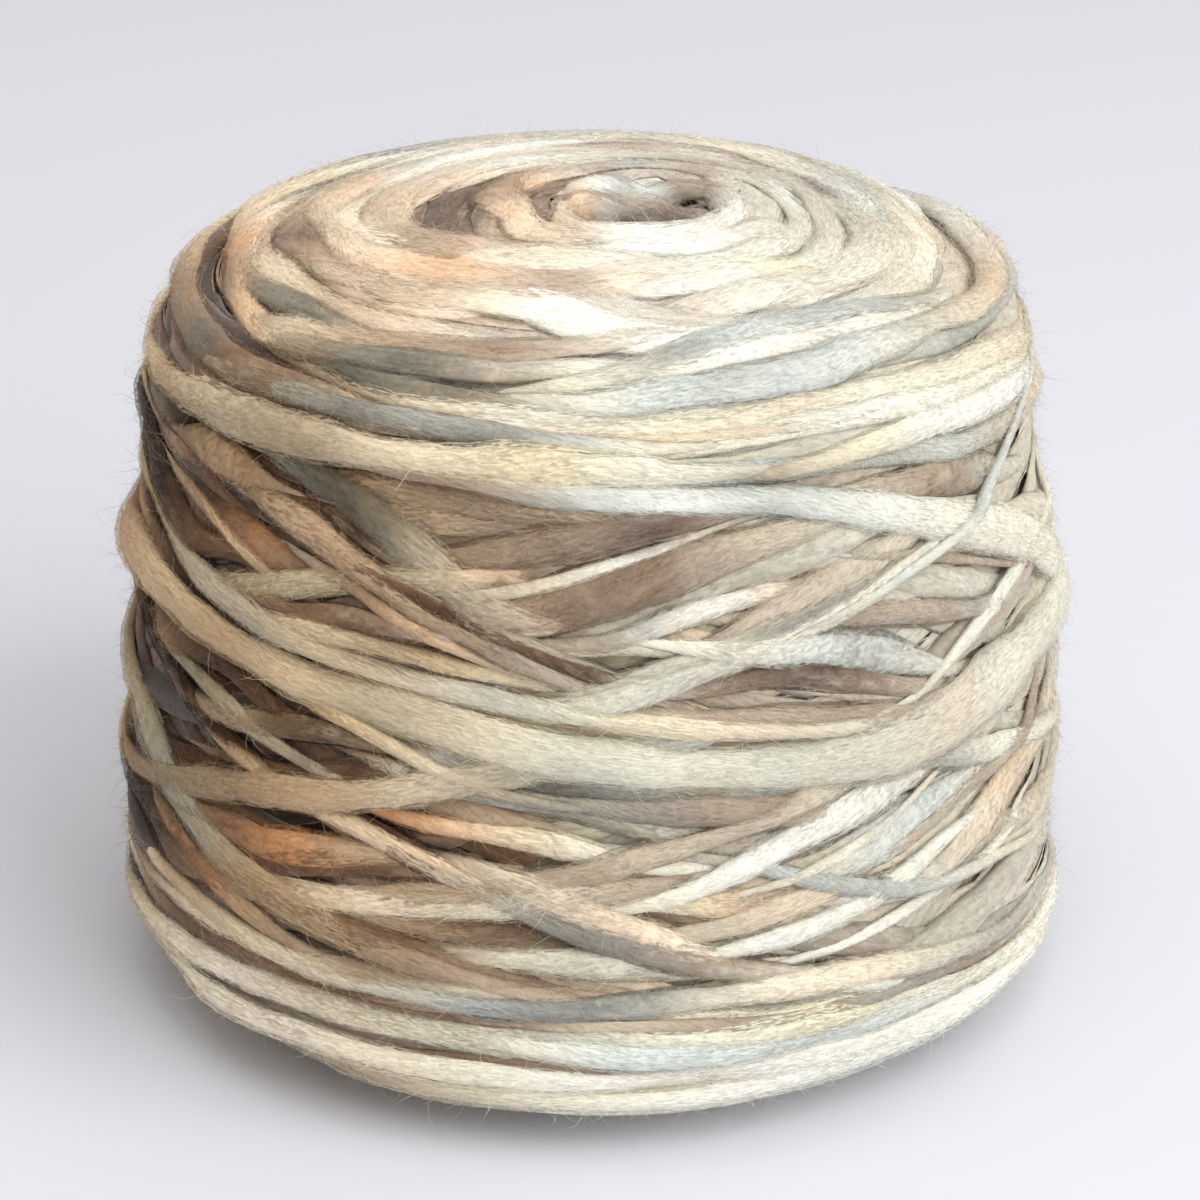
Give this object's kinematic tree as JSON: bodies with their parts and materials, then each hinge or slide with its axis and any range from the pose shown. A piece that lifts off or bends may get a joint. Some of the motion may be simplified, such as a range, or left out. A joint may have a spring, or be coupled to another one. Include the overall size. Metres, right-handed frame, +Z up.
{
  "type": "yarn cake",
  "caption": "Centre-pull cake of thick-and-thin knitting wool, cross-wound into a short tapered drum with a soft round foot and shoulders and a funnel in its top.",
  "frame": {"origin": "on the surface the cake stands on, under the middle of its box", "axes": "+Z up, along the axis that the yarn is wound round; -Y is the side that faces the viewer, +X to the right"},
  "size_m": [0.1264, 0.1256, 0.1003],
  "materials": {
    "wool": "soft single-ply wool, variegated in cream, taupe, pale blue-grey, peach and slate"
  },
  "bodies": {
    "root": {"yarn_cake": "wool"}
  },
  "joints": []
}
